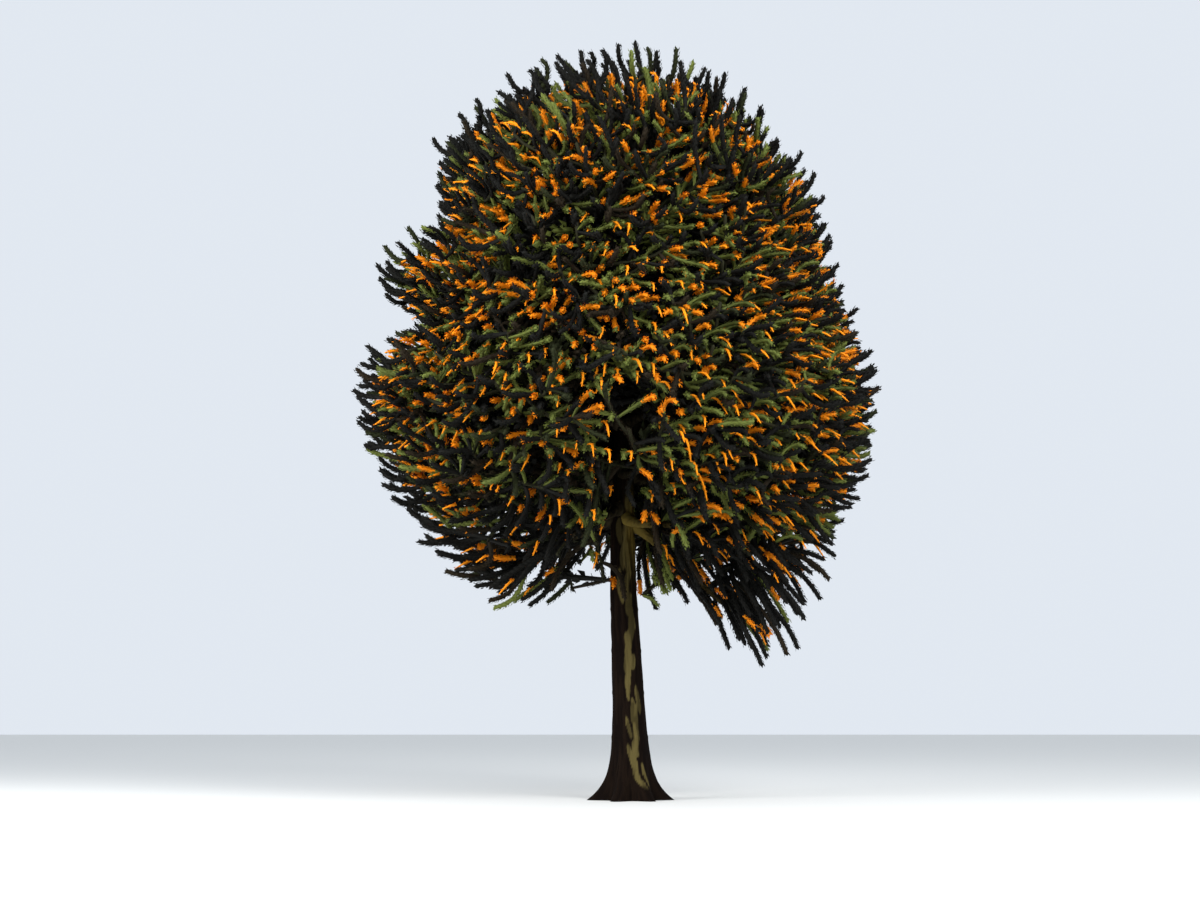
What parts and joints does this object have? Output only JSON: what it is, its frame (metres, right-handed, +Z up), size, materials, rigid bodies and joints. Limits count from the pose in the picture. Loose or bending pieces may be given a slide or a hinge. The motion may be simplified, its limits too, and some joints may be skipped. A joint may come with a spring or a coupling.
{
  "type": "monkey puzzle tree",
  "caption": "Mature monkey puzzle tree with a flared trunk and an egg-shaped crown of whorled boughs that carry rope-like, upward-curling shoots of scale leaves.",
  "frame": {"origin": "on the ground, at the middle of the flat cut under the trunk", "axes": "+Z up along the trunk; +X to the right and +Y away from the viewer in the picture, with the hanging branch towards +X"},
  "size_m": [10.6795, 10.9997, 15.9685],
  "materials": {
    "bark": "rough dark brown bark with long upright olive-grey streaks and ridges",
    "bough_bark": "rough blackish-brown bark",
    "foliage_dark": "stiff glossy scale leaves, near black green",
    "foliage_olive": "stiff glossy scale leaves, olive green",
    "foliage_green": "stiff glossy scale leaves, deep green",
    "foliage_orange": "stiff scale leaves, turned orange"
  },
  "bodies": {
    "root": {"trunk": "bark", "bough_1_1": "bough_bark", "foliage_1_1": "foliage_dark", "bough_1_2": "bough_bark", "foliage_1_2": "foliage_olive", "bough_1_3": "bough_bark", "foliage_1_3": "foliage_green", "bough_1_4": "bough_bark", "foliage_1_4": "foliage_dark", "bough_1_5": "bough_bark", "foliage_1_5": "foliage_olive", "bough_1_6": "bough_bark", "foliage_1_6": "foliage_green", "bough_2_1": "bough_bark", "foliage_2_1": "foliage_dark", "bough_2_2": "bough_bark", "foliage_2_2": "foliage_olive", "bough_2_3": "bough_bark", "foliage_2_3": "foliage_green", "bough_2_4": "bough_bark", "foliage_2_4": "foliage_dark", "bough_2_5": "bough_bark", "foliage_2_5": "foliage_olive", "bough_2_6": "bough_bark", "foliage_2_6": "foliage_green", "bough_2_7": "bough_bark", "foliage_2_7": "foliage_dark", "bough_3_1": "bough_bark", "foliage_3_1": "foliage_olive", "bough_3_2": "bough_bark", "foliage_3_2": "foliage_green", "bough_3_3": "bough_bark", "foliage_3_3": "foliage_dark", "bough_3_4": "bough_bark", "foliage_3_4": "foliage_olive", "bough_3_5": "bough_bark", "foliage_3_5": "foliage_green", "bough_3_6": "bough_bark", "foliage_3_6": "foliage_dark", "bough_3_7": "bough_bark", "foliage_3_7": "foliage_olive", "foliage_4_1": "foliage_green", "foliage_4_2": "foliage_dark", "foliage_4_3": "foliage_olive", "foliage_4_4": "foliage_green", "foliage_4_5": "foliage_dark", "foliage_4_6": "foliage_olive", "foliage_4_7": "foliage_green", "foliage_5_1": "foliage_dark", "foliage_5_2": "foliage_olive", "foliage_5_3": "foliage_green", "foliage_5_4": "foliage_dark", "foliage_5_5": "foliage_olive", "foliage_5_6": "foliage_green", "foliage_6_1": "foliage_dark", "foliage_6_2": "foliage_olive", "foliage_6_3": "foliage_green", "foliage_6_4": "foliage_dark", "foliage_leader": "foliage_olive"}
  },
  "joints": []
}
